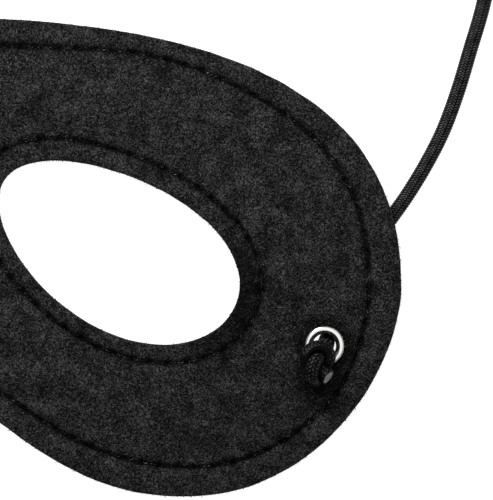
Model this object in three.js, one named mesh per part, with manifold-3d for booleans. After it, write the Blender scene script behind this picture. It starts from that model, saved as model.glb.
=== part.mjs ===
// An eye mask of black felt, lying on its back: two plies sewn together, an eyelet at each temple,
// and one round elastic that is knotted through both eyelets.
import * as THREE from "three";
import { mergeVertices } from "three/addons/utils/BufferGeometryUtils.js";
import Module from "manifold-3d";

const wasm = await Module();
wasm.setup();

// Driving dimensions in millimetres. X runs across the face, Y up it, and Z out of the front.
// Outline of the right half: four points where it runs level or upright, and how far each end of a
// curve reaches along its tangent.
const HALF_WIDTH = 98;
const HALF_HEIGHT = 48.1;
const BROW_REACH = 47.3;
const SIDE_Y = -5.5;
const SIDE_REACH_UP = 45.7;
const SIDE_REACH_DOWN = 15.6;
const CHEEK_X = 54.5;
const CHEEK_REACH_OUT = 28.1;
const CHEEK_REACH_IN = 28.4;
const NOSE_Y = -24;
const NOSE_REACH = 13;

// Eye hole: an oval that is blunter towards the cheek and a little bowed.
const EYE_CENTRE = [40.75, 1.1];
const EYE_HALF_LENGTH = 26.55;
const EYE_HALF_WIDTH = 15.2;
const EYE_TILT = -29.3;
const EYE_BLUNT = 0.118;
const EYE_BOW = 1.2;

// Felt and its topstitching. The outer seam's distance from the outline is given at evenly spaced
// places along the right half, and the eye seam's is a mean and two swings round the hole.
const PLY = 1.6;
const GAP = 0.3;
const OUTER_SEAM = [5.4, 5.1, 3.7, 4.9, 5.8, 6.3, 4.8, 5.5, 6.0, 5.2, 4.8];
const EYE_SEAM = [3.95, 0.3, 0.4];
const SEAM_HALF_WIDTH = 0.9;
const SEAM_DEPTH = 0.55;
const EDGE_ROUND = 0.4;
const PUFF = 0.5;
const PUFF_REACH = 6;

// Eyelet.
const EYELET = [82.7, -17.7];
const EYELET_BACK_Z = 4;
const BORE_RADIUS = 2.35;
const BARREL_RADIUS = 2.65;
const FLANGE_RADIUS = 4;
const FLANGE_THICKNESS = 0.8;
const BACK_FLANGE_RADIUS = 3.8;
const BACK_FLANGE_THICKNESS = 0.6;
const RECESS_DEPTH = 0.7;

// The elastic lies under the felt from the eyelet to the edge and lifts it there.
const ELASTIC_RADIUS = 1.4;
const ELASTIC_EXIT = [98.5, 11];
const LIFT_AT_EYELET = EYELET_BACK_Z + BACK_FLANGE_THICKNESS + GAP;
const LIFT_AT_EXIT = 3.5;
const LIFT_PLATEAU = 8;
const LIFT_REACH = 40;

// Overhand knot, drawn tight: an open trefoil of squeezed elastic.
const KNOT_CENTRE = [81.65, -21.25, 12.6];
const KNOT_RING = 2.3;
const KNOT_SWING = 1.06;
const KNOT_RISE = 1.2;
const KNOT_FROM = -2.3;
const KNOT_TO = 2.15;
const KNOT_TURN = 42;
const KNOT_TILT = -14;
const KNOT_ROLL = -4;
const KNOT_STRAND_RADIUS = 1;

// Fineness of the faceted surfaces.
const OUTLINE_STEPS = [14, 11, 13];
const CENTRE_STEPS = 6;
const PANEL_STEPS = 4;
const EYELET_SIDES = 18;
const ELASTIC_SIDES = 8;
const ELASTIC_STEPS = 76;
const KNOT_BODY_POINTS = 22;
const KNOT_STEPS = 42;

const FELT = { color: 0x1d1e20, roughness: 0.95, metalness: 0 };
const NICKEL = { color: 0xc9c7c2, roughness: 0.22, metalness: 1 };
const BRAID = { color: 0x0f0f10, roughness: 0.6, metalness: 0 };

const { degToRad, lerp, smoothstep } = THREE.MathUtils;
const point = (x, y) => new THREE.Vector2(x, y);

// Points along a plane curve, each with the unit normal on its right-hand side.
function walk(curve, steps) {
  const places = [];
  for (let i = 0; i <= steps; i++) {
    const at = curve.getPoint(i / steps);
    const along = curve.getTangent(i / steps);
    places.push({ at, normal: point(along.y, -along.x) });
  }
  return places;
}

// The right half of the outline, from the brow's middle round the temple and cheek to the nose. Each
// place knows its share of the way along it.
function outlineHalf() {
  const low = -HALF_HEIGHT;
  const brow = point(0, HALF_HEIGHT);
  const side = point(HALF_WIDTH, SIDE_Y);
  const cheek = point(CHEEK_X, low);
  const nose = point(0, NOSE_Y);
  const controls = [
    [brow, point(BROW_REACH, HALF_HEIGHT), point(HALF_WIDTH, SIDE_Y + SIDE_REACH_UP), side],
    [side, point(HALF_WIDTH, SIDE_Y - SIDE_REACH_DOWN), point(CHEEK_X + CHEEK_REACH_OUT, low), cheek],
    [cheek, point(CHEEK_X - CHEEK_REACH_IN, low), point(NOSE_REACH, NOSE_Y), nose],
  ];
  const curves = controls.map((four) => new THREE.CubicBezierCurve(...four));
  const places = curves.flatMap((curve, i) => walk(curve, OUTLINE_STEPS[i]).slice(i ? 1 : 0));
  places[0].normal.set(0, -1);
  places.at(-1).normal.set(0, 1);
  let along = 0;
  for (const [i, place] of places.entries()) {
    if (i) along += place.at.distanceTo(places[i - 1].at);
    place.share = along;
  }
  for (const place of places) place.share /= along;
  return places;
}

// The eye hole's edge at an angle from its long axis, with the normal that points into the felt.
function eyeEdge(angle) {
  const place = (a) => {
    const along = EYE_HALF_LENGTH * Math.cos(a);
    const bow = EYE_BOW * Math.cos(a) ** 2;
    const across = EYE_HALF_WIDTH * (1 + EYE_BLUNT * Math.cos(a)) * Math.sin(a) + bow;
    return point(along, across).rotateAround(point(0, 0), degToRad(EYE_TILT)).add(point(...EYE_CENTRE));
  };
  const nudge = 0.001;
  const tangent = place(angle + nudge).sub(place(angle - nudge)).normalize();
  return { at: place(angle), normal: point(tangent.y, -tangent.x), angle };
}

const offset = ({ at, normal }, distance) => at.clone().addScaledVector(normal, distance);

// How far in from the cut edges the seams run, which drifts a little.
const seamDrift = new THREE.SplineCurve(OUTER_SEAM.map((distance, i) => point(i, distance)));
const outerSeam = ({ share }) => seamDrift.getPoint(share).y;

function eyeSeam({ angle }) {
  const [mean, atEnds, above] = EYE_SEAM;
  return mean + atEnds * Math.cos(2 * angle) + above * Math.sin(angle);
}

const outline = outlineHalf();
const panelRim = outline.map((place) => offset(place, outerSeam(place) + SEAM_HALF_WIDTH));
for (let i = 1; i < CENTRE_STEPS; i++) {
  const bottom = panelRim[outline.length - 1].y;
  panelRim.push(point(0, lerp(bottom, panelRim[0].y, i / CENTRE_STEPS)));
}

// Each point of the panel's rim has a partner on the eye hole, halfway between the one that faces it
// and even spacing.
function partnersOnEye(rim) {
  const facing = rim.map((p) => {
    const q = p.clone().sub(point(...EYE_CENTRE)).rotateAround(point(0, 0), degToRad(-EYE_TILT));
    return Math.atan2(q.y / EYE_HALF_WIDTH, q.x / EYE_HALF_LENGTH);
  });
  for (let i = 1; i < facing.length; i++) {
    while (facing[i] > facing[i - 1]) facing[i] -= 2 * Math.PI;
  }
  return facing.map((angle, i) => eyeEdge((angle + facing[0] - (2 * Math.PI * i) / rim.length) / 2));
}

const eye = partnersOnEye(panelRim);
const eyeRow = (distance) => eye.map((place) => offset(place, distance(place)));
const outlineRow = (distance) => outline.map((place) => offset(place, distance(place)));

const eyeSeamLine = eyeRow(eyeSeam);
const outerSeamLine = outlineRow(outerSeam);

function distanceToLine(p, line, closed) {
  let nearest = Infinity;
  for (let i = 0; i < line.length - (closed ? 0 : 1); i++) {
    const a = line[i];
    const edge = line[(i + 1) % line.length].clone().sub(a);
    const t = THREE.MathUtils.clamp(p.clone().sub(a).dot(edge) / edge.lengthSq(), 0, 1);
    nearest = Math.min(nearest, p.distanceTo(a.clone().addScaledVector(edge, t)));
  }
  return nearest;
}

// How high the felt's underside stands: flat on the table, and raised where the elastic runs below it.
function lift(p) {
  const from = point(...EYELET);
  const run = point(...ELASTIC_EXIT).sub(from);
  const t = THREE.MathUtils.clamp(p.clone().sub(from).dot(run) / run.lengthSq(), 0, 1);
  const away = p.distanceTo(from.clone().addScaledVector(run, t));
  const top = lerp(LIFT_AT_EYELET, LIFT_AT_EXIT, smoothstep(t, 0.25, 1));
  return top * (1 - smoothstep(away, LIFT_PLATEAU, LIFT_REACH));
}

// The panel between the seams is a little puffed.
function puff(p) {
  const seam = Math.min(distanceToLine(p, eyeSeamLine, true), distanceToLine(p, outerSeamLine, false));
  return PUFF * smoothstep(seam, SEAM_HALF_WIDTH, PUFF_REACH);
}

const raise = (row, height) => row.map((p) => new THREE.Vector3(p.x, p.y, lift(p) + height(p)));

// Rows beside an edge: how far in from it each one runs, given the seam's distance, and its height.
const PLAIN_EDGE = [[() => 0, 0]];
const STITCHED_EDGE = [
  [() => 0, -EDGE_ROUND],
  [() => SEAM_HALF_WIDTH, 0],
  [(seam) => seam - SEAM_HALF_WIDTH, 0],
  [(seam) => seam, -SEAM_DEPTH],
];

// Rings from the eye hole's edge over the panel to its rim, and bands from there to the outline.
function rows(height, edge, panelHeight) {
  const rings = edge.map(([inward, dip]) =>
    raise(eyeRow((e) => inward(eyeSeam(e))), () => height + dip),
  );
  const inner = eyeRow((e) => eyeSeam(e) + SEAM_HALF_WIDTH);
  for (let i = 0; i <= PANEL_STEPS; i++) {
    const row = inner.map((p, k) => p.clone().lerp(panelRim[k], i / PANEL_STEPS));
    rings.push(raise(row, (p) => height + panelHeight(p)));
  }
  const bands = edge.map(([inward, dip]) =>
    raise(outlineRow((o) => inward(outerSeam(o))), () => height + dip),
  );
  bands.push(rings.at(-1).slice(0, outline.length));
  return { rings, bands: bands.reverse() };
}

const flat = () => 0;
const level = (height) => rows(height, PLAIN_EDGE, flat);
const stitched = (height) => rows(height, STITCHED_EDGE, puff);

// One closed ply between an underside and a top made of such rows, with its mirrored half.
function ply(under, top) {
  const corners = [];
  const face = (a, b, c, d) => {
    for (const p of [a, b, c, a, c, d]) corners.push(p.x, p.y, p.z);
    for (const p of [a, c, b, a, d, c]) corners.push(-p.x, p.y, p.z);
  };
  const between = (inner, outer, closed, flip) => {
    for (let k = 0; k < inner.length - (closed ? 0 : 1); k++) {
      const n = (k + 1) % inner.length;
      if (flip) face(inner[k], outer[k], outer[n], inner[n]);
      else face(inner[k], inner[n], outer[n], outer[k]);
    }
  };
  for (const [side, flip] of [[top, false], [under, true]]) {
    for (let i = 1; i < side.rings.length; i++) between(side.rings[i - 1], side.rings[i], true, flip);
    for (let i = 1; i < side.bands.length; i++) between(side.bands[i - 1], side.bands[i], false, flip);
  }
  between(under.rings[0], top.rings[0], true, false);
  between(top.bands.at(-1), under.bands.at(-1), false, false);
  const geometry = new THREE.BufferGeometry();
  geometry.setAttribute("position", new THREE.Float32BufferAttribute(corners, 3));
  return mergeVertices(geometry, 1e-4);
}

function solid(geometry) {
  const bare = geometry.clone();
  bare.deleteAttribute("normal");
  bare.deleteAttribute("uv");
  const merged = mergeVertices(bare, 1e-4);
  return new wasm.Manifold(
    new wasm.Mesh({
      numProp: 3,
      vertProperties: new Float32Array(merged.attributes.position.array),
      triVerts: new Uint32Array(merged.index.array),
    }),
  );
}

function surface(manifold) {
  const { vertProperties, triVerts } = manifold.getMesh();
  const geometry = new THREE.BufferGeometry();
  geometry.setAttribute("position", new THREE.BufferAttribute(vertProperties, 3));
  geometry.setIndex(new THREE.BufferAttribute(triVerts, 1));
  return geometry;
}

// An upright round cutter on the eyelet's axis, right or left.
function cutter(radius, low, high, side) {
  const shape = new THREE.CylinderGeometry(radius, radius, high - low, EYELET_SIDES);
  shape.rotateX(Math.PI / 2);
  shape.translate(side * EYELET[0], EYELET[1], (low + high) / 2);
  return solid(shape);
}

const hole = BARREL_RADIUS + GAP;
const frontTop = LIFT_AT_EYELET + 2 * PLY + GAP + PUFF;
const recessFloor = frontTop - RECESS_DEPTH;
const farBelow = -10;
const farAbove = 30;

function feltBack() {
  let body = solid(ply(level(0), level(PLY)));
  for (const side of [1, -1]) body = body.subtract(cutter(hole, farBelow, farAbove, side));
  return surface(body);
}

function feltFront() {
  let body = solid(ply(level(PLY + GAP), stitched(2 * PLY + GAP)));
  for (const side of [1, -1]) {
    body = body.subtract(cutter(hole, farBelow, farAbove, side));
    body = body.subtract(cutter(FLANGE_RADIUS + GAP, recessFloor, farAbove, side));
  }
  return surface(body);
}

// A barrel with a domed flange in front and a rolled one behind, turned in one piece.
function eyelet() {
  const back = EYELET_BACK_Z;
  const rolled = back + BACK_FLANGE_THICKNESS;
  const seat = recessFloor + GAP;
  const crown = seat + FLANGE_THICKNESS;
  const profile = [
    [BORE_RADIUS, back],
    [BACK_FLANGE_RADIUS - 0.2, back],
    [BACK_FLANGE_RADIUS, (back + rolled) / 2],
    [BACK_FLANGE_RADIUS - 0.2, rolled],
    [BARREL_RADIUS, rolled],
    [BARREL_RADIUS, seat],
    [FLANGE_RADIUS - 0.1, seat],
    [FLANGE_RADIUS, seat + 0.3],
    [FLANGE_RADIUS - 0.35, crown - 0.1],
    [FLANGE_RADIUS - 0.8, crown],
    [BORE_RADIUS + 0.4, crown - 0.2],
    [BORE_RADIUS, crown - 0.8],
    [BORE_RADIUS, back],
  ];
  const turned = new THREE.LatheGeometry(profile.map(([r, z]) => point(r, z)), EYELET_SIDES);
  return turned.rotateX(Math.PI / 2);
}

// A round cord along a smooth curve through the given points.
function cord(points, radius, steps) {
  const section = new THREE.Shape();
  for (let i = 0; i < ELASTIC_SIDES; i++) {
    const angle = (2 * Math.PI * i) / ELASTIC_SIDES;
    if (i) section.lineTo(radius * Math.cos(angle), radius * Math.sin(angle));
    else section.moveTo(radius, 0);
  }
  section.closePath();
  const route = new THREE.CatmullRomCurve3(points, false, "centripetal");
  return new THREE.ExtrudeGeometry(section, { steps, extrudePath: route, bevelEnabled: false });
}

// The elastic's right half: down through the eyelet, under the felt, out at the temple, and round a
// wide loop above the brow. Its last point is the middle of the loop.
const ELASTIC_HALF = [
  [82.65, -18.1, 8.6],
  [82.8, -17.9, 7.0],
  [83.1, -17.3, 4.25],
  [83.55, -15.9, 2.45],
  [84.2, -14.1, 1.6],
  [87.7, -6.3, 1.45],
  [93.4, 3.7, 1.45],
  [99.5, 12.45, 1.45],
  [103.35, 18.8, 1.45],
  [106.6, 25.2, 1.45],
  [109.6, 33.25, 1.45],
  [112.0, 41.25, 1.45],
  [114.8, 50.95, 1.45],
  [116.0, 58.5, 1.45],
  [114.0, 69.2, 1.45],
  [105.5, 80.8, 1.45],
  [90.6, 89.7, 1.45],
  [66.0, 97.0, 1.45],
  [34.0, 101.2, 1.45],
  [0, 102.0, 1.45],
];

function elasticRoute() {
  const right = ELASTIC_HALF.map((p) => new THREE.Vector3(...p));
  const left = right.slice(0, -1).map((p) => new THREE.Vector3(-p.x, p.y, p.z));
  return [...right, ...left.reverse()];
}

// The elastic above the eyelet, the knot's body and the cut tail.
const KNOT_NECK = [
  [82.55, -18.2, 8.9],
  [82.25, -18.7, 10.0],
  [81.6, -19.4, 11.0],
];
const KNOT_TAIL = [
  [82.45, -23.2, 13.4],
  [83.35, -23.8, 13.78],
];

function knotRoute() {
  const body = [];
  for (let i = 0; i < KNOT_BODY_POINTS; i++) {
    const t = lerp(KNOT_FROM, KNOT_TO, i / (KNOT_BODY_POINTS - 1));
    const ring = KNOT_RING - KNOT_SWING * Math.cos(3 * t);
    const p = new THREE.Vector3(ring * Math.cos(2 * t), ring * Math.sin(2 * t), KNOT_RISE * Math.sin(3 * t));
    p.applyAxisAngle(new THREE.Vector3(0, 1, 0), degToRad(KNOT_TURN));
    p.applyAxisAngle(new THREE.Vector3(1, 0, 0), degToRad(KNOT_TILT));
    p.applyAxisAngle(new THREE.Vector3(0, 0, 1), degToRad(KNOT_ROLL));
    body.push(p.add(new THREE.Vector3(...KNOT_CENTRE)));
  }
  const ends = [KNOT_NECK, KNOT_TAIL].map((list) => list.map((p) => new THREE.Vector3(...p)));
  return [...ends[0], ...body, ...ends[1]];
}

const group = new THREE.Group();

function add(name, geometry, look) {
  const mesh = new THREE.Mesh(geometry, new THREE.MeshStandardMaterial(look));
  mesh.name = name;
  group.add(mesh);
  return mesh;
}

add("felt_back", feltBack(), FELT);
add("felt_front", feltFront(), FELT);
for (const [name, side] of [["right", 1], ["left", -1]]) {
  add(`eyelet_${name}`, eyelet(), NICKEL).position.set(side * EYELET[0], EYELET[1], 0);
  const route = knotRoute().map((p) => p.setX(side * p.x));
  add(`knot_${name}`, cord(route, KNOT_STRAND_RADIUS, KNOT_STEPS), BRAID);
}
add("elastic_cord", cord(elasticRoute(), ELASTIC_RADIUS, ELASTIC_STEPS), BRAID);

export default group;
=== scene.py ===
# An eye mask of black wool felt, lying on its back: two plies sewn together, a nickel eyelet at each
# temple, and one round elastic that is knotted through both eyelets.
import math

import bmesh
import bpy
import numpy as np
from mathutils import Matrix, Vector, kdtree, noise


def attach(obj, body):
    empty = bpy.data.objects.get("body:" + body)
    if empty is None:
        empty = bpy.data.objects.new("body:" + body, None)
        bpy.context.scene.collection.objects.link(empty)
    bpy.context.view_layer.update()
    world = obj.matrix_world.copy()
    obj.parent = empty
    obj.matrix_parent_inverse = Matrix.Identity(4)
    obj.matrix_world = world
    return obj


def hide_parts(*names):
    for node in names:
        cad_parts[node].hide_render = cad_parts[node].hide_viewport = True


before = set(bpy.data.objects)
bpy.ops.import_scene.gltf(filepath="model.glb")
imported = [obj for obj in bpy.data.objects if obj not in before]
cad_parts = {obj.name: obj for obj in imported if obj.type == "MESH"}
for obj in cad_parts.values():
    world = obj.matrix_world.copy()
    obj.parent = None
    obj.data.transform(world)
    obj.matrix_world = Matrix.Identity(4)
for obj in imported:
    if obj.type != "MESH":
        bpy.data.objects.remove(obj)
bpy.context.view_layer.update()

# The back ply: wool felt 1.6 mm thick, cut to the mask's outline with both eye holes. It lies on the
# table, and rises at the temples where the elastic runs under it. The sizes are millimetres, and
# made_of() turns them into metres.
MM = 0.001

# The outline's and the eye's curves
HALF_WIDTH = 98
HALF_HEIGHT = 48.1
BROW_REACH = 47.3
SIDE_Y = -5.5
SIDE_REACH_UP = 45.7
SIDE_REACH_DOWN = 15.6
CHEEK_X = 54.5
CHEEK_REACH_OUT = 28.1
CHEEK_REACH_IN = 28.4
NOSE_Y = -24
NOSE_REACH = 13
EYE_CENTRE = (40.75, 1.1)
EYE_HALF_LENGTH = 26.55
EYE_HALF_WIDTH = 15.2
EYE_TILT = math.radians(-29.3)
EYE_BLUNT = 0.118
EYE_BOW = 1.2
LINE_POINTS = 2400

# The plies' thickness, their cut edges and the panel puffed up between the seams
PLY = 1.6
BACK_LOFT = 0.13
BETWEEN_PLIES = PLY + BACK_LOFT
EDGE_ROUND = 0.4
EDGE_BULGE = 0.12
EDGE_WOBBLE = 0.1
EDGE_WOBBLE_GRAIN = 4.0
EDGE_WOBBLE_LAYER = 9.5
EDGE_WOBBLE_FADES = (1, 0.85, 0.5)
NEAR_MIDDLE = 0.5
PUFF = 0.5
PUFF_REACH = 6
LUMPS = [(5.0, 0.09), (2.3, 0.06), (1.1, 0.04)]

# The seams: their distance from the outline and from the eye, and how the thread pulls the felt down
OUTER_SEAM = [5.4, 5.1, 3.7, 4.9, 5.8, 6.3, 4.8, 5.5, 6.0, 5.2, 4.8]
EYE_SEAM = (3.95, 0.3, 0.4)
SEAM_HALF_WIDTH = 0.9
SEAM_WIDTH = 0.6
SEAM_DEPTH = 0.65
BACK_SEAM_SHARE = 0.7
STITCH = 3.7
HOLE_DEPTH = 0.6
HOLE_WIDTH = 0.15
PUCKER = 0.09
PUCKER_REACH = 1.5

# The eyelet's place, the felt pressed down round it, and the felt's rise over the elastic
EYELET = (82.7, -17.7)
EYELET_HOLE = 2.95
EYELET_SEAT = 8.46
EYELET_BACK_SEAT = 4.64
PRESSED_FROM = 4.1
PRESSED_TO = 6.3
DRILL_DEPTH = 40
DRILL_SIDES = 48
LIFT_EXIT = (98.5, 11)
LIFT_AT_EYELET = 4.9
LIFT_AT_EXIT = 3.5
LIFT_FALLS_FROM = 0.25
LIFT_PLATEAU = 8
LIFT_REACH = 40

# Where the felt is drawn darker: along the seams, for the thread's pressing and the groove's painted shade,
# and painted shade beside the eye's right end, round each eyelet and under each knot
# Along each seam the felt is drawn darker, partly because the thread presses it, partly as painted shade in
# the groove
SEAM_PRESS_AND_SHADE_WIDTH = 0.45
SEAM_PRESS_AND_SHADE = 0.85
SEAM_PRESS_AND_SHADE_AT_HOLE = 0.15
# Painted shade on the border at the eye's right end, fading on the panel past the seam
EYE_END_SHADE = (64.5, -9)
EYE_END_SHADE_REACH = 10
EYE_END_SHADE_DEPTH = 0.75
EYE_END_SHADE_PAST_SEAM = 0.5
EYE_END_SHADE_FADE = (-0.5, 1.5)
# Painted shadow on the felt round and under each knot
KNOT_SHADOW = (81, -24.5)
KNOT_SHADOW_REACH = 4.5
# Painted shade on the felt round each eyelet
EYELET_SHADE_DEPTH = 0.65

# The meshes' rows of points, the points along the outline and up the middle, and the felt's shades
EDGE_ROWS = (0, 0.15, 0.4, 0.8)
BORDER_ROWS = np.linspace(0.2, 0.8, 4)
GROOVE_ROWS = (-0.9, -0.6, -0.4, -0.2, 0, 0.2, 0.4, 0.6, SEAM_HALF_WIDTH)
WALL_ROWS = (0.15, 0.4, 0.7, 0.9)
BACK_PANEL_ROWS = 14
INSIDE_PANEL_ROWS = 6
COARSE_POINTS = (40, 8)
BACK_POINTS = (230, 60)
MERGE = 0.002
FRONT, BACK, INSIDE = 1, -1, 0
FELT_SHADES = [
    (0.42, (0.0005, 0.0005, 0.0005)),
    (0.6, (0.0045, 0.0045, 0.0047)),
    (0.8, (0.019, 0.019, 0.02)),
    (1.0, (0.075, 0.075, 0.079)),
]
LOOSE_SHARE = 0.35
MATTED_SHARE = 1.15
# How much the pressed felt and the painted shade darken the felt
PRESS_AND_SHADE_DULL = 0.35
CLOUD_SHARE = 0.6
CLOUD_LEAST = 0.7


def smoothstep(x, low, high):
    t = np.clip((x - low) / (high - low), 0, 1)
    return t * t * (3 - 2 * t)


def bell(x, width):
    """1 in the middle, falling smoothly to nothing past the width."""
    return np.exp(-((x / width) ** 2))


def bezier(a, b, c, d):
    t = np.linspace(0, 1, LINE_POINTS)[:, None]
    return (1 - t) ** 3 * a + 3 * t * (1 - t) ** 2 * b + 3 * t**2 * (1 - t) * c + t**3 * d


def lengths(line):
    return np.r_[0, np.cumsum(np.linalg.norm(np.diff(line, axis=0), axis=1))]


def evenly(line, count):
    along = lengths(line)
    at = np.linspace(0, along[-1], count)
    return np.stack([np.interp(at, along, part) for part in line.T], axis=1)


def outline_half(count):
    """The right half of the outline, from the brow's middle round the temple and cheek to the nose."""
    low = -HALF_HEIGHT
    brow = (0, HALF_HEIGHT)
    side = (HALF_WIDTH, SIDE_Y)
    cheek = (CHEEK_X, low)
    nose = (0, NOSE_Y)
    curves = [
        [brow, (BROW_REACH, HALF_HEIGHT), (HALF_WIDTH, SIDE_Y + SIDE_REACH_UP), side],
        [side, (HALF_WIDTH, SIDE_Y - SIDE_REACH_DOWN), (CHEEK_X + CHEEK_REACH_OUT, low), cheek],
        [cheek, (CHEEK_X - CHEEK_REACH_IN, low), (NOSE_REACH, NOSE_Y), nose],
    ]
    return evenly(np.concatenate([bezier(*np.array(four, float)) for four in curves]), count)


def into_felt(outline):
    ahead = np.gradient(outline, axis=0)
    ahead /= np.linalg.norm(ahead, axis=1)[:, None]
    inward = np.stack([ahead[:, 1], -ahead[:, 0]], axis=1)
    inward[0], inward[-1] = (0, -1), (0, 1)
    return inward


def smooth_values(values, count):
    """Numbers on a smooth curve through evenly spaced values."""
    at = np.linspace(0, len(values) - 1, count)
    i = np.minimum(at.astype(int), len(values) - 2)
    t = at - i
    a, b, c, d = (np.pad(values, 1, mode="edge")[i + k] for k in range(4))
    return b + ((c - a) * t + (2 * a - 5 * b + 4 * c - d) * t**2 + (3 * b - a - 3 * c + d) * t**3) / 2


def outer_seam(outline):
    """The seam's distance from the outline, whose points are evenly spaced."""
    return smooth_values(OUTER_SEAM, len(outline))


def eye_edge(angle):
    along = EYE_HALF_LENGTH * np.cos(angle)
    bow = EYE_BOW * np.cos(angle) ** 2
    across = EYE_HALF_WIDTH * (1 + EYE_BLUNT * np.cos(angle)) * np.sin(angle) + bow
    c, s = math.cos(EYE_TILT), math.sin(EYE_TILT)
    return np.stack([EYE_CENTRE[0] + c * along - s * across, EYE_CENTRE[1] + s * along + c * across], axis=1)


def out_of_eye(angle):
    ahead = eye_edge(angle + 1e-3) - eye_edge(angle - 1e-3)
    ahead /= np.linalg.norm(ahead, axis=1)[:, None]
    return np.stack([ahead[:, 1], -ahead[:, 0]], axis=1)


def eye_seam(angle):
    return EYE_SEAM[0] + EYE_SEAM[1] * np.cos(2 * angle) + EYE_SEAM[2] * np.sin(angle)


def angle_on_eye(points):
    x, y = (points - EYE_CENTRE).T
    c, s = math.cos(EYE_TILT), math.sin(EYE_TILT)
    return np.arctan2((c * y - s * x) / EYE_HALF_WIDTH, (c * x + s * y) / EYE_HALF_LENGTH)


class Pattern:
    """The right half's plan as columns of points, which follow the outline and then the middle line."""

    def __init__(self, around, up):
        self.outline = outline_half(around)
        self.outline_in = into_felt(self.outline)
        self.outer_seam = outer_seam(self.outline)
        rim = self.outline + self.outline_in * (self.outer_seam + SEAM_HALF_WIDTH)[:, None]
        self.rim = np.concatenate([rim, np.linspace(rim[-1], rim[0], up + 1)[1:-1]])
        facing = np.unwrap(angle_on_eye(self.rim))
        even = facing[0] - 2 * np.pi * np.arange(len(facing)) / len(facing)
        angle = (facing + even) / 2
        self.eye = eye_edge(angle)
        self.eye_in = out_of_eye(angle)
        self.eye_seam = eye_seam(angle)


class CutEdge:
    """A cut edge of the right half and the seam beside it, which can be asked about any point."""

    def __init__(self, line, inward, seam):
        self.line, self.inward, self.seam = line, inward, seam
        self.seam_line = line + inward * seam[:, None]
        along = lengths(self.seam_line)
        self.stitches = round(along[-1] / STITCH)
        self.phase = along / along[-1] * self.stitches
        self.tree = kdtree.KDTree(len(line))
        for i, (x, y) in enumerate(line):
            self.tree.insert((x, y, 0), i)
        self.tree.balance()

    def beside(self, points):
        """How far into the felt each point is, how far past the seam, and its place among the stitches."""
        i = np.array([self.tree.find((x, y, 0))[1] for x, y in points])
        inward = ((points - self.line[i]) * self.inward[i]).sum(1)
        return inward, inward - self.seam[i], self.phase[i]


cut_line = outline_half(LINE_POINTS)
round_eye = angle_on_eye(Pattern(*COARSE_POINTS).rim)[0] - np.linspace(0, 2 * np.pi, LINE_POINTS)
outer_edge = CutEdge(cut_line, into_felt(cut_line), outer_seam(cut_line))
inner_edge = CutEdge(eye_edge(round_eye), out_of_eye(round_eye), eye_seam(round_eye))


def lift(points):
    """How high the felt's underside stands above the table."""
    run = np.subtract(LIFT_EXIT, EYELET)
    t = np.clip((points - EYELET) @ run / (run @ run), 0, 1)
    away = np.linalg.norm(points - EYELET - t[:, None] * run, axis=1)
    top = LIFT_AT_EYELET + (LIFT_AT_EXIT - LIFT_AT_EYELET) * smoothstep(t, LIFT_FALLS_FROM, 1)
    return top * (1 - smoothstep(away, LIFT_PLATEAU, LIFT_REACH))


def noise_over(points, grain, layer):
    return np.array([noise.noise((x / grain, y / grain, layer)) for x, y in points])


def needle_hole(phase):
    """1 at a needle's hole, 0 between two holes."""
    return (0.5 + 0.5 * np.cos(2 * np.pi * phase)) ** 2


def stitch_pull(past_seam, phase):
    """How far the thread pulls the felt down beside a seam, most at the needle's holes."""
    hole = needle_hole(phase)
    groove = (SEAM_DEPTH + HOLE_DEPTH * hole) * bell(past_seam, SEAM_WIDTH + HOLE_WIDTH * hole)
    return groove + PUCKER * hole * np.exp(-np.abs(past_seam) / PUCKER_REACH)


def pressed_and_shaded_by_seam(past_seam, phase):
    """How dark the felt is drawn beside a seam, up to 1 at the needle's holes: pressed felt and painted
    groove shade.
    """
    hole = needle_hole(phase)
    return (SEAM_PRESS_AND_SHADE + SEAM_PRESS_AND_SHADE_AT_HOLE * hole) * bell(past_seam, SEAM_PRESS_AND_SHADE_WIDTH + HOLE_WIDTH * hole)


def felt_height(points, side, level, face):
    """Heights of a ply's front, back or inside face over plan points, on the right (1) or left (-1)."""
    in_outer, past_outer, at_outer = outer_edge.beside(points)
    in_eye, past_eye, at_eye = inner_edge.beside(points)
    near_edge = np.clip(np.minimum(in_outer, in_eye) / SEAM_HALF_WIDTH, 0, 1)
    rounding = EDGE_ROUND * (1 - np.sqrt(1 - (1 - near_edge) ** 2))
    if face == INSIDE:
        return lift(points) + level
    pull = stitch_pull(past_outer, at_outer) + stitch_pull(past_eye, at_eye)
    world = points * (side, 1)
    lumps = sum(size * noise_over(world, grain, grain) for grain, size in LUMPS)
    away = np.linalg.norm(points - EYELET, axis=1)
    pressed = 1 - smoothstep(away, PRESSED_FROM, PRESSED_TO)
    if face == FRONT:
        puff = PUFF * smoothstep(np.minimum(past_outer, past_eye), SEAM_HALF_WIDTH, PUFF_REACH)
        height = lift(points) + level - rounding - pull + puff + lumps
        return height + (EYELET_SEAT - height) * pressed
    height = lift(points) + level + rounding + BACK_SEAM_SHARE * pull + np.abs(lumps)
    return height + (EYELET_BACK_SEAT - height) * pressed


def border(seam, fine):
    """Rows of distances from a cut edge to just past its seam."""
    if not fine:
        return [seam * f for f in (0, 0.5)] + [seam, seam + SEAM_HALF_WIDTH]
    near = [np.full_like(seam, d) for d in EDGE_ROWS]
    wide = seam - SEAM_HALF_WIDTH - near[-1]
    return near + [near[-1] + wide * f for f in BORDER_ROWS] + [seam + d for d in GROOVE_ROWS]


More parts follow.
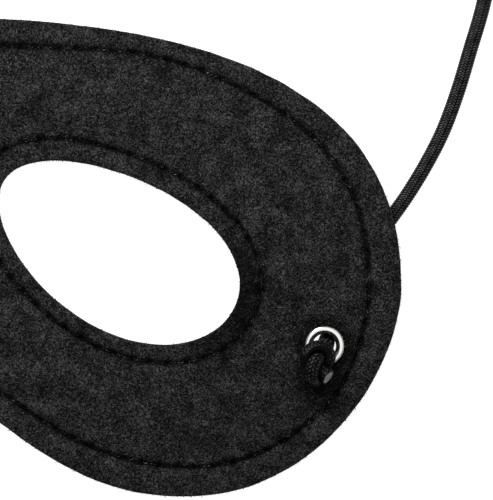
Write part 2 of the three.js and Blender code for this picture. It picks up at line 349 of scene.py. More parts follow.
def face_rows(pattern, side, level, face, panel_steps):
    """The face's rings, from the eye hole to the panel's rim, and its bands, from the outline to there."""
    fine = face != INSIDE
    rings = [pattern.eye + pattern.eye_in * d[:, None] for d in border(pattern.eye_seam, fine)]
    inner = rings[-1]
    rings += [inner + (pattern.rim - inner) * i / panel_steps for i in range(1, panel_steps + 1)]
    bands = [pattern.outline + pattern.outline_in * d[:, None] for d in border(pattern.outer_seam, fine)]
    wobbled = []
    for rows, inward in ((rings, pattern.eye_in), (bands, pattern.outline_in)):
        cut = EDGE_WOBBLE * noise_over(rows[0] * (side, 1), EDGE_WOBBLE_GRAIN, EDGE_WOBBLE_LAYER)
        cut = cut * (np.abs(rows[0][:, 0]) > NEAR_MIDDLE)
        for row, fade in zip(rows, EDGE_WOBBLE_FADES):
            row += inward * (cut * fade)[:, None]
        wobbled.append([np.c_[row, felt_height(row, side, level, face)] for row in rows])
    return wobbled


def wall(low, high, inward):
    """Rows up a cut edge, which bulges a little."""
    bulge = np.c_[-inward, np.zeros(len(inward))] * EDGE_BULGE
    return [low + (high - low) * f + bulge * math.sin(math.pi * f) for f in WALL_ROWS]


def made_of(name, points, faces, look, painted=None):
    """A mesh of the points, in millimetres, and the faces, with doubled points merged."""
    mesh = bpy.data.meshes.new(name)
    mesh.from_pydata(np.asarray(points) * MM, [], faces)
    for attribute, values in (painted or {}).items():
        mesh.attributes.new(attribute, "FLOAT", "POINT").data.foreach_set("value", values)
    body = bmesh.new()
    body.from_mesh(mesh)
    bmesh.ops.remove_doubles(body, verts=body.verts, dist=MERGE * MM)
    bmesh.ops.recalc_face_normals(body, faces=body.faces)
    body.to_mesh(mesh)
    body.free()
    mesh.polygons.foreach_set("use_smooth", [True] * len(mesh.polygons))
    mesh.materials.append(look)
    piece = bpy.data.objects.new(name, mesh)
    bpy.context.scene.collection.objects.link(piece)
    return piece


def grid_faces(rows, columns, start, closed):
    """Four-sided faces between the points of neighbouring rows, numbered from start."""
    across = np.arange(columns if closed else columns - 1)
    nexts = (across + 1) % columns
    lower = start + np.arange(rows - 1)[:, None] * columns
    four = [lower + across, lower + nexts, lower + columns + nexts, lower + columns + across]
    return np.stack(four, axis=-1).reshape(-1, 4).tolist()


def pressed_and_painted_shade(places):
    """How dark the felt is drawn at each place, from 0 to 1, on either half of the mask: pressed felt and
    painted shade.
    """
    plan = np.abs(places * (1, 0)) + places * (0, 1)
    _, past_outer, at_outer = outer_edge.beside(plan)
    _, past_eye, at_eye = inner_edge.beside(plan)
    # Pressed felt and painted groove shade along both seams
    seam_pressed_and_shaded = pressed_and_shaded_by_seam(past_outer, at_outer) + pressed_and_shaded_by_seam(past_eye, at_eye)
    # Painted shade round the eye's right end
    eye_end_shade = bell(np.linalg.norm(plan - EYE_END_SHADE, axis=1), EYE_END_SHADE_REACH)
    eye_end_shade = eye_end_shade * (1 - EYE_END_SHADE_PAST_SEAM * smoothstep(past_eye, *EYE_END_SHADE_FADE))
    # Painted shade round the eyelet
    to_eyelet = np.linalg.norm(plan - EYELET, axis=1)
    eyelet_shade = EYELET_SHADE_DEPTH * (1 - smoothstep(to_eyelet, PRESSED_FROM, PRESSED_TO + 1))
    # Painted shadow under the knot
    knot_shadow = bell(np.linalg.norm(plan - KNOT_SHADOW, axis=1), KNOT_SHADOW_REACH)
    return np.max([np.minimum(seam_pressed_and_shaded, 1), EYE_END_SHADE_DEPTH * eye_end_shade, eyelet_shade, knot_shadow], axis=0)


def ply(name, pattern, under, over, look):
    """One ply of felt: under and over are each the level, face and panel rows of one side of it."""
    points, faces, start = [], [], 0
    for side in (1, -1):
        (low_rings, low_bands), (high_rings, high_bands) = (
            face_rows(pattern, side, *what) for what in (under, over)
        )
        for low, high, inward, closed in (
            (low_rings, high_rings, pattern.eye_in, True),
            (low_bands, high_bands, pattern.outline_in, False),
        ):
            rows = low[::-1] + wall(low[0], high[0], inward) + high
            points += [row * (side, 1, 1) for row in rows]
            faces += grid_faces(len(rows), len(rows[0]), start, closed)
            start += len(rows) * len(rows[0])
    points = np.concatenate(points)
    # The pressed attribute holds pressed felt and painted shade
    return made_of(name, points, faces, look, {"pressed": pressed_and_painted_shade(points[:, :2])})


def drill(piece, radius):
    """Cuts the round holes for both eyelets."""
    for side in (1, -1):
        bit = bmesh.new()
        bmesh.ops.create_cone(
            bit,
            cap_ends=True,
            segments=DRILL_SIDES,
            radius1=radius * MM,
            radius2=radius * MM,
            depth=DRILL_DEPTH * MM,
        )
        bmesh.ops.translate(bit, verts=bit.verts, vec=(side * EYELET[0] * MM, EYELET[1] * MM, 0))
        mesh = bpy.data.meshes.new("bit")
        bit.to_mesh(mesh)
        bit.free()
        cutter = bpy.data.objects.new("bit", mesh)
        bpy.context.scene.collection.objects.link(cutter)
        cut = piece.modifiers.new("hole", "BOOLEAN")
        cut.object = cutter
        cut.operation = "DIFFERENCE"
        cut.solver = "EXACT"
        drilled = bpy.data.meshes.new_from_object(piece.evaluated_get(bpy.context.evaluated_depsgraph_get()))
        piece.modifiers.clear()
        piece.data = drilled
        bpy.data.objects.remove(cutter)


class Look:
    """A material on one shader, with its own values and the nodes that feed it.

    A socket goes by its name with _ for each space, or by _ and its number."""

    def __init__(self, name, **values):
        self.material = bpy.data.materials.new(name)
        self.material.use_nodes = True
        self.tree = self.material.node_tree
        self.shader = self.tree.nodes["Principled BSDF"]
        for socket, value in values.items():
            self.shader.inputs[socket.replace("_", " ")].default_value = value
        self.where = self.tree.nodes.new("ShaderNodeTexCoord").outputs["Object"]

    def node(self, kind, settings=None, **inputs):
        made = self.tree.nodes.new("ShaderNode" + kind)
        for key, value in (settings or {}).items():
            setattr(made, key, value)
        for key, value in inputs.items():
            self.feed(value, made.inputs[int(key[1:]) if key[0] == "_" else key.replace("_", " ")])
        return made.outputs[0]

    def feed(self, value, socket):
        if isinstance(value, bpy.types.NodeSocket):
            self.tree.links.new(value, socket)
        else:
            socket.default_value = value

    def maths(self, operation, a, b=0.0, clamp=False):
        return self.node("Math", {"operation": operation, "use_clamp": clamp}, _0=a, _1=b)

    def mix(self, a, share_a, b, share_b):
        return self.maths("ADD", self.maths("MULTIPLY", a, share_a), self.maths("MULTIPLY", b, share_b))

    def grain(self, size, detail, distortion, layer):
        """Noise with lumps of about that size in metres, from 0 to 1."""
        place = self.node("VectorMath", {"operation": "ADD"}, _0=self.where, _1=(layer, 0, 0))
        return self.node("TexNoise", Vector=place, Scale=1 / size, Detail=detail, Distortion=distortion)

    def strands(self, size, width, distortion, layer):
        """Thin winding lines, where a noise passes through its middle value."""
        off = self.maths("ABSOLUTE", self.maths("SUBTRACT", self.grain(size, 1.0, distortion, layer), 0.5))
        return self.node("MapRange", Value=off, From_Min=0.0, From_Max=width, To_Min=1.0, To_Max=0.0)

    def painted(self, attribute):
        made = self.tree.nodes.new("ShaderNodeAttribute")
        made.attribute_name = attribute
        return made.outputs["Fac"]

    def tint(self, factor, *stops):
        ramp = self.tree.nodes.new("ShaderNodeValToRGB")
        self.feed(factor, ramp.inputs[0])
        points = ramp.color_ramp.elements
        for i, (at, colour) in enumerate(stops):
            if i >= 2:
                points.new(at)
            points[i].position = at
            points[i].color = (*colour, 1)
        return ramp.outputs[0]

    def bump(self, height, distance, strength):
        out = self.node("Bump", Height=height, Distance=distance, Strength=strength)
        self.feed(out, self.shader.inputs["Normal"])


def felt_look():
    look = Look("felt", Roughness=0.95, Specular_IOR_Level=0.03)
    short = look.strands(0.55 * MM, width=0.07, distortion=1.2, layer=0.0)
    bent = look.strands(0.9 * MM, width=0.06, distortion=1.8, layer=3.1)
    long = look.strands(1.6 * MM, width=0.04, distortion=2.2, layer=5.3)
    matted = look.grain(0.3 * MM, detail=2.0, distortion=0.4, layer=7.7)
    cloudy = look.grain(4.0 * MM, detail=4.0, distortion=0.4, layer=1.9)
    loose = look.maths("MAXIMUM", short, look.maths("MAXIMUM", bent, long))
    mixed = look.mix(loose, LOOSE_SHARE, matted, MATTED_SHARE)
    # Darker where the felt is pressed and where shade is painted
    pressed_and_shaded_factor = look.maths("SUBTRACT", 1.0, look.maths("MULTIPLY", look.painted("pressed"), PRESS_AND_SHADE_DULL))
    clouds = look.maths("ADD", look.maths("MULTIPLY", cloudy, CLOUD_SHARE), CLOUD_LEAST)
    shade = look.maths("MULTIPLY", look.maths("MULTIPLY", mixed, clouds), pressed_and_shaded_factor)
    look.feed(look.tint(shade, *FELT_SHADES), look.shader.inputs["Base Color"])
    look.bump(mixed, distance=0.25 * MM, strength=1.0)
    return look.material


felt = felt_look()

back = ply(
    "felt_back_cloth",
    Pattern(*BACK_POINTS),
    (0, BACK, BACK_PANEL_ROWS),
    (BETWEEN_PLIES, INSIDE, INSIDE_PANEL_ROWS),
    felt,
)
drill(back, EYELET_HOLE)
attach(back, "root")
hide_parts("felt_back")

# The front ply: the same felt, cut to the same outline and laid on the back ply. Two rows of
# topstitching sink into it, along the outline and round each eye, and the panel between them is puffed.
FRONT_LOFT = 0.3
FRONT_LEVEL = 2 * PLY + FRONT_LOFT
PLY_GAP = 0.02
FRONT_PANEL_ROWS = 36
FRONT_POINTS = (380, 100)
front = ply(
    "felt_front_cloth",
    Pattern(*FRONT_POINTS),
    (BETWEEN_PLIES + PLY_GAP, INSIDE, INSIDE_PANEL_ROWS),
    (FRONT_LEVEL, FRONT, FRONT_PANEL_ROWS),
    felt,
)
drill(front, EYELET_HOLE)
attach(front, "root")
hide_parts("felt_front")

# The felt's nap: loose wool fibres that lie matted on each face, a few of them free at one end, and
# a short fringe of fibres that stands out of every cut edge.
FIBRE_RADIUS = (0.03, 0.075)
FIBRE_LENGTH = (0.8, 2.4)
FIBRE_PLACES = (-0.5, -0.18, 0.18, 0.5)
FIBRE_BEND = 0.6
FIBRE_CURL = 0.25
FIBRE_LOFT = 0.08
ROOTED = 0.06
FREE_END = 16
FRINGE_LENGTH = (0.3, 0.76)
FRINGE_PLACES = (-0.15, 0.25, 0.6, 0.85)
FRINGE_SPREAD = 0.8
FRINGE_BEND = 0.45
FRINGE_FINENESS = 0.5
BARE = 0.15
BARE_REACH = (6, 12)
ON_FACE = 0.5
ON_EDGE = 0.6


def spots_on(cloth, count, dice, wanted):
    """Random points on the cloth, more of them where wanted(place, normal) is high, and their normals."""
    mesh = cloth.data
    mesh.calc_loop_triangles()
    corners = np.empty(len(mesh.loop_triangles) * 3, int)
    mesh.loop_triangles.foreach_get("vertices", corners)
    at = np.empty(len(mesh.vertices) * 3)
    mesh.vertices.foreach_get("co", at)
    a, b, c = np.moveaxis(at.reshape(-1, 3)[corners.reshape(-1, 3)] / MM, 1, 0)
    across = np.cross(b - a, c - a)
    area = np.linalg.norm(across, axis=1)
    normal = across / np.maximum(area, 1e-12)[:, None]
    chance = area * wanted((a + b + c) / 3, normal)
    picked = dice.choice(len(area), count, p=chance / chance.sum())
    u, v = dice.random((2, count, 1))
    u, v = np.where(u + v > 1, 1 - u, u), np.where(u + v > 1, 1 - v, v)
    spots = a[picked] + u * (b[picked] - a[picked]) + v * (c[picked] - a[picked])
    return spots, normal[picked]


def unit(vectors):
    return vectors / np.linalg.norm(vectors, axis=-1, keepdims=True)


def fibres(name, lines, upward, radius, shade, look):
    """Three-sided fibres that taper to both ends, along lines of four points each."""
    count = len(lines)
    lines[..., 2] = np.maximum(lines[..., 2], radius[:, None])
    ahead = unit(lines[:, 2:] - lines[:, :-2])
    aside = unit(np.cross(ahead, upward[:, None]))
    upward = np.cross(aside, ahead)
    turn = np.radians([90, 210, 330])
    spoke = np.cos(turn)[:, None] * aside[:, :, None] + np.sin(turn)[:, None] * upward[:, :, None]
    rings = lines[:, 1:3, None] + spoke * radius[:, None, None, None]
    points = np.concatenate([lines[:, :1], rings.reshape(count, 6, 3), lines[:, 3:]], axis=1)
    one = [(0, 2, 1), (0, 3, 2), (0, 1, 3), (7, 4, 5), (7, 5, 6), (7, 6, 4)]
    one += [(1, 2, 5, 4), (2, 3, 6, 5), (3, 1, 4, 6)]
    faces = [[8 * i + k for k in corner] for i in range(count) for corner in one]
    return made_of(name, points.reshape(-1, 3), faces, look, {"shade": np.repeat(shade, 8)})


def nap(name, cloth, count, seed, wanted, look):
    """Fibres that lie on a face of the cloth."""
    dice = np.random.default_rng(seed)
    spots, normal = spots_on(cloth, count, dice, wanted)
    ahead = unit(np.cross(normal, dice.normal(size=(count, 3))))
    aside = np.cross(normal, ahead)
    length = dice.uniform(*FIBRE_LENGTH, (count, 1, 1))
    s = np.array(FIBRE_PLACES)[:, None]
    bend = dice.normal(0, FIBRE_BEND, (count, 1, 1)) * (s**2 - 0.1)
    bend = bend + dice.normal(0, FIBRE_CURL, (count, 1, 1)) * s**3
    height = dice.uniform(0.0, FIBRE_LOFT, (count, 1, 1)) - ROOTED * 4 * s**2
    height = height + dice.uniform(0, 0.5, (count, 1, 1)) ** 5 * FREE_END * np.maximum(s, 0) ** 2
    lines = spots[:, None] + (ahead[:, None] * s + aside[:, None] * bend) * length + normal[:, None] * height
    return fibres(name, lines, normal, dice.uniform(*FIBRE_RADIUS, count), dice.random(count), look)


def fringe(name, cloth, count, seed, wanted, look):
    """Fibres that stand out of a cut edge."""
    dice = np.random.default_rng(seed)
    spots, normal = spots_on(cloth, count, dice, wanted)
    ahead = unit(normal + dice.normal(0, FRINGE_SPREAD, (count, 3)))
    aside = unit(np.cross(ahead, dice.normal(size=(count, 3))))
    length = dice.uniform(*FRINGE_LENGTH, (count, 1, 1)) ** 2
    s = np.array(FRINGE_PLACES)[:, None]
    bend = dice.normal(0, FRINGE_BEND, (count, 1, 1)) * s**2
    lines = spots[:, None] + (ahead[:, None] * s + aside[:, None] * bend) * length
    radius = dice.uniform(*FIBRE_RADIUS, count) * FRINGE_FINENESS
    return fibres(name, lines, aside, radius, dice.random(count), look)


def fibre_look():
    look = Look("wool fibre", Roughness=0.8, Specular_IOR_Level=0.05)
    stops = [(0.2, (0.001, 0.001, 0.001)), (0.6, (0.008, 0.008, 0.0085)), (1.0, (0.06, 0.06, 0.063))]
    look.feed(look.tint(look.painted("shade"), *stops), look.shader.inputs["Base Color"])
    return look.material


def unpressed(at):
    """Fewer fibres stand where an eyelet and a knot press the felt."""
    away = np.linalg.norm(np.c_[np.abs(at[:, 0]), at[:, 1]] - EYELET, axis=1)
    return BARE + (1 - BARE) * smoothstep(away, *BARE_REACH)


wool = fibre_look()
NAPS = [
    ("front_nap_right", front, 11000, lambda at, n: (n[:, 2] > ON_FACE) * (at[:, 0] > 0) * unpressed(at)),
    ("front_nap_left", front, 11000, lambda at, n: (n[:, 2] > ON_FACE) * (at[:, 0] < 0) * unpressed(at)),
    ("back_nap", back, 6000, lambda at, n: n[:, 2] < -ON_FACE),
]
FRINGES = [("front_fringe", front, 3500), ("back_fringe", back, 2500)]
fuzz = [nap(name, cloth, count, seed, wanted, wool) for seed, (name, cloth, count, wanted) in enumerate(NAPS)]
fuzz += [
    fringe(name, cloth, count, seed, lambda at, n: np.abs(n[:, 2]) < ON_EDGE, wool)
    for seed, (name, cloth, count) in enumerate(FRINGES, start=10)
]
for piece in fuzz:
    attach(piece, "root")

# The topstitching: a lockstitch of black polyester thread, one row along the outline and one round
# each eye. The needle's thread lies in the groove in front, and the bobbin's thread behind.
THREAD_RADIUS = 0.18
THREAD_SQUEEZE = 0.8
THREAD_SUNK = 1.0
THREAD_DIVE = 0.09
THREAD_SIDES = 8
STEPS_A_STITCH = 14
STRAND_DIP = 0.2
TWIST = 1.0
# The thread's strands get painted glints on their crests, in random patches
GLINT_SHARPNESS = 5
GLINT_PATCH_LEAST = 0.55
NOT_ALONG = (0.3, 0.5, 0.8)


def frames_along(line):
    """Two directions across the line at each of its points, carried along it without twist."""
    ahead = unit(np.gradient(line, axis=0))
    across = np.empty_like(line)
    across[0] = np.cross(ahead[0], NOT_ALONG)
    for i, direction in enumerate(ahead):
        carried = across[max(i - 1, 0)]
        across[i] = unit(carried - direction * (carried @ direction))
    return across, np.cross(ahead, across)


def tube(line, radius):
    """Points and faces of a closed tube along the line, with a radius for each ring and side."""
    sides = radius.shape[1]
    across, upward = frames_along(line)
    turn = 2 * np.pi * np.arange(sides) / sides
    out = np.cos(turn)[:, None] * across[:, None] + np.sin(turn)[:, None] * upward[:, None]
    points = (line[:, None] + out * radius[..., None]).reshape(-1, 3)
    faces = grid_faces(len(line), sides, 0, True)
    faces += [list(range(sides))[::-1], list(range(len(points) - sides, len(points)))]
    return points, faces


def seam_path(edge, side, level, face):
    """The thread's middle line along one half of a seam."""
    steps = edge.stitches * STEPS_A_STITCH
    plan = evenly(edge.seam_line, steps + 1)
    phase = np.arange(steps + 1) / STEPS_A_STITCH
    to_hole = np.abs(phase - np.round(phase))
    sunk = THREAD_SUNK * bell(to_hole, THREAD_DIVE)
    height = felt_height(plan, side, level, face) + face * (THREAD_RADIUS * THREAD_SQUEEZE - sunk)
    return np.c_[plan * (side, 1), height]


def stitched(name, path, look):
    """A thread of two twisted strands along the path, with painted glints on the strands' crests."""
    ring, side = np.arange(len(path))[:, None], np.arange(THREAD_SIDES)[None]
    turn = 2 * np.pi * side / THREAD_SIDES + TWIST * ring
    strands = 1 - STRAND_DIP + STRAND_DIP * np.cos(2 * turn)
    points, faces = tube(path, THREAD_RADIUS * strands)
    # The crest value paints glints on the strands' crests
    piece = made_of(name, points, faces, look, {"crest_glint": strands.ravel() ** GLINT_SHARPNESS})
    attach(piece, "root")
    return piece


def thread_look():
    look = Look("thread", Roughness=0.6, Specular_IOR_Level=0.05)
    hairs = look.grain(0.8 * MM, detail=2.0, distortion=0.4, layer=4.4)
    glint_patches = look.grain(5.0 * MM, detail=2.0, distortion=0.4, layer=8.8)
    # Painted glints, in random patches; the rest of the thread keeps its own near-black
    glint_strength = look.maths("MULTIPLY", hairs, look.maths("ADD", glint_patches, GLINT_PATCH_LEAST))
    shade = look.maths("MULTIPLY", look.painted("crest_glint"), glint_strength)
    stops = [(0.25, (0.0005, 0.0005, 0.0005)), (0.43, (0.014, 0.014, 0.014)), (0.58, (0.32, 0.32, 0.33))]
    look.feed(look.tint(shade, *stops), look.shader.inputs["Base Color"])
    look.bump(hairs, distance=0.03 * MM, strength=0.6)
    return look.material


polyester = thread_look()
threads = {FRONT: [], BACK: []}
for face, level, where in ((FRONT, FRONT_LEVEL, "front"), (BACK, 0, "back")):
    halves = [seam_path(outer_edge, side, level, face) for side in (1, -1)]
    outline_path = np.concatenate([halves[0], halves[1][::-1][1:]])
    threads[face].append(stitched("stitches_%s_outline" % where, outline_path, polyester))
    for side, hand in ((1, "right"), (-1, "left")):
        path = seam_path(inner_edge, side, level, face)
        threads[face].append(stitched("stitches_%s_eye_%s" % (where, hand), path, polyester))

# The eyelets: drawn brass with nickel plate. A barrel goes through both plies, with a rounded flange
# in front and a flatter one rolled over behind.
EYELET_PROFILE = [
    (2.35, 4.25),
    (2.5, 4.02),
    (3.0, 4.0),
    (3.55, 4.02),
    (3.8, 4.25),
    (3.72, 4.52),
    (3.3, 4.6),
    (2.75, 4.62),
    (2.65, 4.9),
    (2.65, 8.3),
    (2.8, 8.5),
    (3.5, 8.5),
    (3.93, 8.54),
    (4.0, 8.72),
    (3.9, 8.98),
    (3.62, 9.2),
    (3.3, 9.28),
    (2.98, 9.23),
    (2.72, 9.07),
    (2.5, 8.76),
    (2.38, 8.25),
    (2.35, 7.4),
]
EYELET_SIDES = 96
EYELET_ROWS = 72
CURVE_STEPS = 60


def smooth_line(points, closed=False):
    """A smooth curve through the points, which the distances between them space (centripetal)."""
    p = np.array(points, float)
    ends = [p[-1:], p, p[:2]] if closed else [[2 * p[0] - p[1]], p, [2 * p[-1] - p[-2]]]
    p = np.concatenate(ends)
    t = np.linspace(0, 1, CURVE_STEPS, endpoint=False)[:, None]
    out = []
    for a, b, c, d in zip(p, p[1:], p[2:], p[3:]):
        ab, bc, cd = (np.linalg.norm(v) ** 0.5 for v in (b - a, c - b, d - c))
        at_b = ((b - a) / ab - (c - a) / (ab + bc) + (c - b) / bc) * bc
        at_c = ((c - b) / bc - (d - b) / (bc + cd) + (d - c) / cd) * bc
        out.append(
            b + at_b * t + (3 * (c - b) - 2 * at_b - at_c) * t**2 + (2 * (b - c) + at_b + at_c) * t**3
        )
    return np.concatenate([*out, p[-2:-1]])


def nickel_look():
    look = Look("nickel plate", Metallic=1.0, Base_Color=(0.93, 0.92, 0.89, 1))
    rubbed = look.grain(0.5 * MM, detail=3.0, distortion=0.5, layer=6.1)
    spread = look.node("MapRange", Value=rubbed, From_Min=0.3, From_Max=0.7, To_Min=0.1, To_Max=0.24)
    look.feed(spread, look.shader.inputs["Roughness"])
    look.bump(rubbed, distance=0.01 * MM, strength=0.3)
    return look.material


nickel = nickel_look()
profile = evenly(smooth_line(EYELET_PROFILE, closed=True), EYELET_ROWS + 1)[:-1]
turn = 2 * np.pi * np.arange(EYELET_SIDES) / EYELET_SIDES
for side, hand in ((1, "right"), (-1, "left")):
    spun = np.stack(
        [
            side * EYELET[0] + np.outer(np.cos(turn), profile[:, 0]),
            EYELET[1] + np.outer(np.sin(turn), profile[:, 0]),
            np.outer(np.ones(EYELET_SIDES), profile[:, 1]),
        ],
        axis=-1,
    )
    rows = np.concatenate([spun, spun[:1]])
    eyelet = made_of(
        "eyelet_%s_plated" % hand, rows.reshape(-1, 3), grid_faces(len(rows), len(profile), 0, True), nickel
    )
    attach(eyelet, "root")
    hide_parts("eyelet_%s" % hand)

# The elastic: a round cord 2.8 mm thick with a braided sleeve of twenty-four yarns. It comes down through
# each eyelet, runs under the felt and out at the temple, and lies in a wide loop above the brow.
ELASTIC_RADIUS = 1.4
ELASTIC_CROWN = 1.53
BORE_SWELL = 0.2
BORE_HEIGHTS = (1.6, 4.2)
ELASTIC_HALF = [
    (82.65, -18.1, 8.6),
    (82.8, -17.9, 7.0),
    (83.1, -17.3, 4.25),
    (83.55, -15.9, 2.45),
    (84.2, -14.1, 1.6),
    (87.7, -6.3, 1.45),
    (93.4, 3.7, 1.45),
    (99.5, 12.45, 1.45),
    (103.35, 18.8, 1.45),
    (106.6, 25.2, 1.45),
    (109.6, 33.25, 1.45),
    (112.0, 41.25, 1.45),
    (114.8, 50.95, 1.45),
    (116.0, 58.5, 1.45),
    (114.0, 69.2, 1.45),
    (105.5, 80.8, 1.45),
    (90.6, 89.7, 1.45),
    (66.0, 97.0, 1.45),
    (34.0, 101.2, 1.45),
    (0, 102.0, 1.45),
]
BRAID_ROUND = 12
BRAID_PITCH = 0.57
BRAID_RELIEF = 0.15
YARN_DIVE = 0.8
# The yarns' crowns get a painted sheen, and the gaps between them painted shade
CROWN = 1.5
HAIR_SHARE = 0.7
YARN_SHARE = 1.3
SAMPLES_A_YARN = 3


def braid_height(u, v):
    """The sleeve's relief, 0 to 1: u counts yarns of one hand round the cord, v counts pitches along it.

    Each yarn goes over two of the other hand and under the next two."""
    p, q = u + v, u - v
    i, j = np.floor(p), np.floor(q)
    turn = (i + j) % 4
    across = np.where(turn < 2, p - i, q - j)
    forward = np.where(turn < 2, q - j, p - i) + turn % 2
    return (1 - (2 * across - 1) ** 2) ** 2 * (1 - YARN_DIVE * (forward - 1) ** 4)


def braided(name, points, radius, look, squeeze_and_shade=None):
    """A length of braided cord along a smooth line through the points, that line and the cord's last ring."""
    line = smooth_line(points)
    line = evenly(line, round(lengths(line)[-1] / BRAID_PITCH * SAMPLES_A_YARN) + 1)
    sides = BRAID_ROUND * SAMPLES_A_YARN
    ring, side = np.arange(len(line))[:, None], np.arange(sides)[None]
    relief = braid_height((side + 0.5) / SAMPLES_A_YARN, ring / SAMPLES_A_YARN)
    points, faces = tube(line, radius(line)[:, None] - BRAID_RELIEF * (1 - relief))
    # Painted sheen on each yarn's crown, painted shade between the yarns
    crown_sheen_and_shade = relief.ravel() ** CROWN
    # A knot's strands get painted shade where they lie close together
    if squeeze_and_shade:
        points, unshaded_share = squeeze_and_shade(points, line, sides)
        crown_sheen_and_shade = crown_sheen_and_shade * unshaded_share
    points[:, 2] = np.maximum(points[:, 2], 0.0)
    return made_of(name, points, faces, look, {"crown_sheen_and_shade": crown_sheen_and_shade}), line, points[-sides:]


def braid_look(name, roughness, stops):
    look = Look(name, Roughness=roughness, Specular_IOR_Level=0.05)
    hairs = look.grain(0.12 * MM, detail=2.0, distortion=0.5, layer=2.3)
    yarn = look.grain(1.3 * MM, detail=2.0, distortion=0.3, layer=5.9)
    uneven = look.mix(hairs, HAIR_SHARE, yarn, YARN_SHARE)
    # The painted sheen and shade of the yarns, made uneven
    shade = look.maths("MULTIPLY", look.painted("crown_sheen_and_shade"), uneven, clamp=True)
    look.feed(look.tint(shade, *stops), look.shader.inputs["Base Color"])
    look.bump(hairs, distance=0.03 * MM, strength=0.5)
    return look.material


def swollen(height):
    """The elastic is slack and thicker in the eyelet than where it runs under the felt."""
    return ELASTIC_CROWN + BORE_SWELL * smoothstep(height, *BORE_HEIGHTS)


# From painted shade between the yarns to a painted sheen on their crowns
braid_sheen_stops = [(0.2, (0.0005,) * 3), (0.5, (0.007,) * 3), (0.85, (0.105,) * 3)]
braid = braid_look("braid", 0.5, braid_sheen_stops)
whole_route = ELASTIC_HALF + [(-x, y, z) for x, y, z in ELASTIC_HALF[-2::-1]]
elastic, elastic_line, _ = braided("elastic", whole_route, lambda line: swollen(line[:, 2]), braid)
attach(elastic, "root")
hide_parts("elastic_cord")

# The knots: an overhand knot in each end of the elastic, pulled tight, so that it can't pass the
# eyelet. The strands press flat on each other, and the cut tail shows the grey rubber cores.
KNOT_CENTRE = (81.65, -21.25, 12.6)
KNOT_RING = 2.3
KNOT_SWING = 1.06
KNOT_RISE = 1.2
KNOT_FROM = -2.3
KNOT_TO = 2.15
KNOT_TURN = math.radians(42)
KNOT_TILT = math.radians(-14)
KNOT_ROLL = math.radians(-4)
KNOT_NECK = [(82.62, -18.05, 8.2), (82.55, -18.2, 8.9), (82.25, -18.7, 10.0), (81.6, -19.4, 11.0)]
KNOT_TAIL = [(82.45, -23.2, 13.4), (83.35, -23.8, 13.78)]
KNOT_BODY_POINTS = 22
KNOT_STRAND_RADIUS = 1.45
KNOT_END_RADIUS = 1.75
KNOT_SWELL = (0.5, 3.5)
KNOT_NEAR = 3.2
KNOT_GAP = 0.03
THINNEST = 0.2
# Painted shade in the knot: between close strands, over the whole knot, and less at the tail's end
CREVICE_SHADE_FROM = 1.5
CREVICE_SHADE_TO = 2.6
KNOT_SHADE_FACTOR = 0.8
TAIL_FROM = 6
TAIL_TO = 3.5
TAIL_LEAST_SHEEN = 0.6
SLEEVE = 0.2
CORE_DEPTH = 0.6
CORE_DOME = 0.12
CORE_THREAD = 0.34
CORE_STEP = 0.07
CORE_MIDDLE = 0.05
CORE_RINGS = 10


def knot_route():
    t = np.linspace(KNOT_FROM, KNOT_TO, KNOT_BODY_POINTS)
    ring = KNOT_RING - KNOT_SWING * np.cos(3 * t)
    x, y, z = ring * np.cos(2 * t), ring * np.sin(2 * t), KNOT_RISE * np.sin(3 * t)
    c, s = math.cos(KNOT_TURN), math.sin(KNOT_TURN)
    x, z = c * x + s * z, c * z - s * x
    c, s = math.cos(KNOT_TILT), math.sin(KNOT_TILT)
    y, z = c * y - s * z, s * y + c * z
    c, s = math.cos(KNOT_ROLL), math.sin(KNOT_ROLL)
    x, y = c * x - s * y, s * x + c * y
    return [*KNOT_NECK, *(np.stack([x, y, z], axis=1) + KNOT_CENTRE), *KNOT_TAIL]


def pressed_together_and_shaded(points, line, sides):
    """Moves the points of one strand back to the plane halfway to any other strand that it meets.

    Also paints shade on the knot: it says how much of the painted sheen each point keeps, 0 deep between two
    strands."""
    rings = points.reshape(len(line), sides, 3)
    # The whole knot is painted darker, for the shade it lies in over the black felt
    unshaded_share = np.full(rings.shape[:2], KNOT_SHADE_FACTOR)
    along = lengths(line)
    for i, centre in enumerate(line):
        others = line[np.abs(along - along[i]) > KNOT_NEAR]
        between = others - centre
        far = np.linalg.norm(between, axis=1)
        gap = np.linalg.norm(rings[i][:, None] - others, axis=2).min(axis=1)
        # Painted shade where the strand lies close to another
        unshaded_share[i] *= smoothstep(gap, CREVICE_SHADE_FROM, CREVICE_SHADE_TO)
        # The tail's end keeps more of its painted sheen
        tail = TAIL_LEAST_SHEEN * smoothstep(along[-1] - along[i], TAIL_FROM, TAIL_TO)
        unshaded_share[i] = np.maximum(unshaded_share[i], tail)
        near = far < 2 * ELASTIC_RADIUS
        if not near.any():
            continue
        facing = between[near] / far[near][:, None]
        spoke = rings[i] - centre
        reach = spoke @ facing.T
        allowed = np.maximum(far[near] / 2 - KNOT_GAP, THINNEST)
        shrink = np.where(reach > allowed, allowed / np.maximum(reach, 1e-9), 1).min(axis=1)
        rings[i] = centre + spoke * shrink[:, None]
    return rings.reshape(-1, 3), unshaded_share.ravel()


def strand_radius(line):
    """The knot's strands are squeezed, and swell to the neck and to the cut end."""
    along = lengths(line)
    to_end = np.minimum(along, along[-1] - along)
    return KNOT_END_RADIUS + (KNOT_STRAND_RADIUS - KNOT_END_RADIUS) * smoothstep(to_end, *KNOT_SWELL)


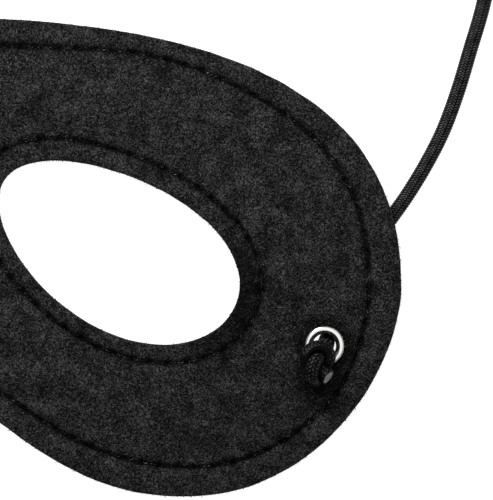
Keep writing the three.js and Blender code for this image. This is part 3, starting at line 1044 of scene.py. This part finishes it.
def cut_end(name, line, rim, look):
    """The bundle of rubber threads that shows in the sleeve's cut rim, a little domed and uneven."""
    ahead = unit(line[-1] - line[-3])
    aside = unit(np.cross(ahead, (0, 0, 1)))
    upward = np.cross(aside, ahead)
    spoke = rim - line[-1]
    spoke *= 1 - SLEEVE / np.linalg.norm(spoke, axis=1, keepdims=True)
    reach = np.append(np.linspace(CORE_MIDDLE, 1, CORE_RINGS), [1, CORE_MIDDLE])[:, None]
    x, y = reach * (spoke @ aside), reach * (spoke @ upward)
    cells = [[noise.cell((a / CORE_THREAD, b / CORE_THREAD, 0.5)) for a, b in zip(*row)] for row in zip(x, y)]
    out = CORE_DOME * (1 - reach**2) + CORE_STEP * np.array(cells)
    out[-2:] = -CORE_DEPTH
    points = line[-1] + x[..., None] * aside + y[..., None] * upward + out[..., None] * ahead
    count = len(rim)
    faces = grid_faces(len(points), count, 0, True)
    faces += [list(range(count))[::-1], list(range((len(points) - 1) * count, len(points) * count))]
    piece = made_of(name, points.reshape(-1, 3), faces, look)
    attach(piece, "root")
    return piece


def rubber_look():
    look = Look("rubber", Roughness=0.7, Specular_IOR_Level=0.2)
    cut = look.grain(0.25 * MM, detail=2.0, distortion=0.2, layer=3.3)
    stops = [(0.3, (0.12, 0.12, 0.115)), (0.7, (0.24, 0.24, 0.23))]
    look.feed(look.tint(cut, *stops), look.shader.inputs["Base Color"])
    look.bump(cut, distance=0.05 * MM, strength=0.5)
    return look.material


rubber = rubber_look()
# The knot's braid: darker painted shade and a brighter painted sheen than the loose elastic's
knot_shaded_stops = [(0.25, (0.0003,) * 3), (0.5, (0.005,) * 3), (0.85, (0.14,) * 3)]
knot_braid_shaded = braid_look("tight braid with painted shade", 0.4, knot_shaded_stops)
knots = []
for hand, side in (("right", 1), ("left", -1)):
    route = [(side * x, y, z) for x, y, z in knot_route()]
    knot, line, rim = braided("knot_%s_tied" % hand, route, strand_radius, knot_braid_shaded, pressed_together_and_shaded)
    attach(knot, "root")
    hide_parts("knot_%s" % hand)
    knots += [knot, cut_end("knot_%s_core" % hand, line, rim, rubber)]

# The table is a lit white sheet. One soft light stands above the brow, a little to the left, and the
# sky is brightest overhead. The camera looks straight down on the right half of the mask.
TABLE_HALF = 900
TABLE_TOP = -0.03
TABLE_GLOW = 0.93
LIGHT_SIZE = 95
LIGHT_ENERGY = 0.96
LIGHT_PLACE = (-20, 195, 225)
SKY_BRIGHT = (0.1, 0.1, 0.99)
SKY_DIM = (0.3, 0.1)
SKY_LIT = (0.88, 0.97)
VIEW_CENTRE = (67.14, 1.36, 6.0)
VIEW_HEIGHT = 100
CAMERA_HEIGHT = 900
SENSOR = 24

table_look = Look(
    "table",
    Roughness=0.6,
    Base_Color=(0.3, 0.3, 0.3, 1),
    Emission_Color=(1, 1, 1, 1),
    Emission_Strength=TABLE_GLOW,
)
table_corners = [(TABLE_HALF * x, TABLE_HALF * y, TABLE_TOP) for x, y in ((-1, -1), (1, -1), (1, 1), (-1, 1))]
table = made_of("table", table_corners, [[0, 1, 2, 3]], table_look.material)

lamp = bpy.data.lights.new("key", "AREA")
lamp.shape = "SQUARE"
lamp.size = LIGHT_SIZE * MM
lamp.energy = LIGHT_ENERGY
light = bpy.data.objects.new("key", lamp)
light.location = [c * MM for c in LIGHT_PLACE]
light.rotation_euler = (Vector(VIEW_CENTRE) * MM - light.location).to_track_quat("-Z", "Y").to_euler()
bpy.context.scene.collection.objects.link(light)

world = bpy.data.worlds.new("studio")
world.use_nodes = True
sky_tree = world.node_tree
sky = sky_tree.nodes["Background"]
sky.inputs["Color"].default_value = (1, 1, 1, 1)
direction = sky_tree.nodes.new("ShaderNodeTexCoord").outputs["Generated"]
facing = sky_tree.nodes.new("ShaderNodeVectorMath")
facing.operation = "DOT_PRODUCT"
facing.inputs[1].default_value = SKY_BRIGHT
sky_tree.links.new(direction, facing.inputs[0])
fade = sky_tree.nodes.new("ShaderNodeMapRange")
for name, value in zip(("From Min", "To Min", "From Max", "To Max"), SKY_DIM + SKY_LIT):
    fade.inputs[name].default_value = value
sky_tree.links.new(facing.outputs["Value"], fade.inputs["Value"])
sky_tree.links.new(fade.outputs[0], sky.inputs["Strength"])
bpy.context.scene.world = world
bpy.context.scene.view_settings.view_transform = "Standard"

lens = bpy.data.cameras.new("camera")
lens.sensor_fit = "VERTICAL"
lens.sensor_width = lens.sensor_height = SENSOR
lens.lens = SENSOR * CAMERA_HEIGHT / VIEW_HEIGHT
lens.clip_end = 20
camera = bpy.data.objects.new("camera", lens)
camera.location = [c * MM for c in (*VIEW_CENTRE[:2], VIEW_CENTRE[2] + CAMERA_HEIGHT)]
bpy.context.scene.collection.objects.link(camera)
bpy.context.scene.camera = camera
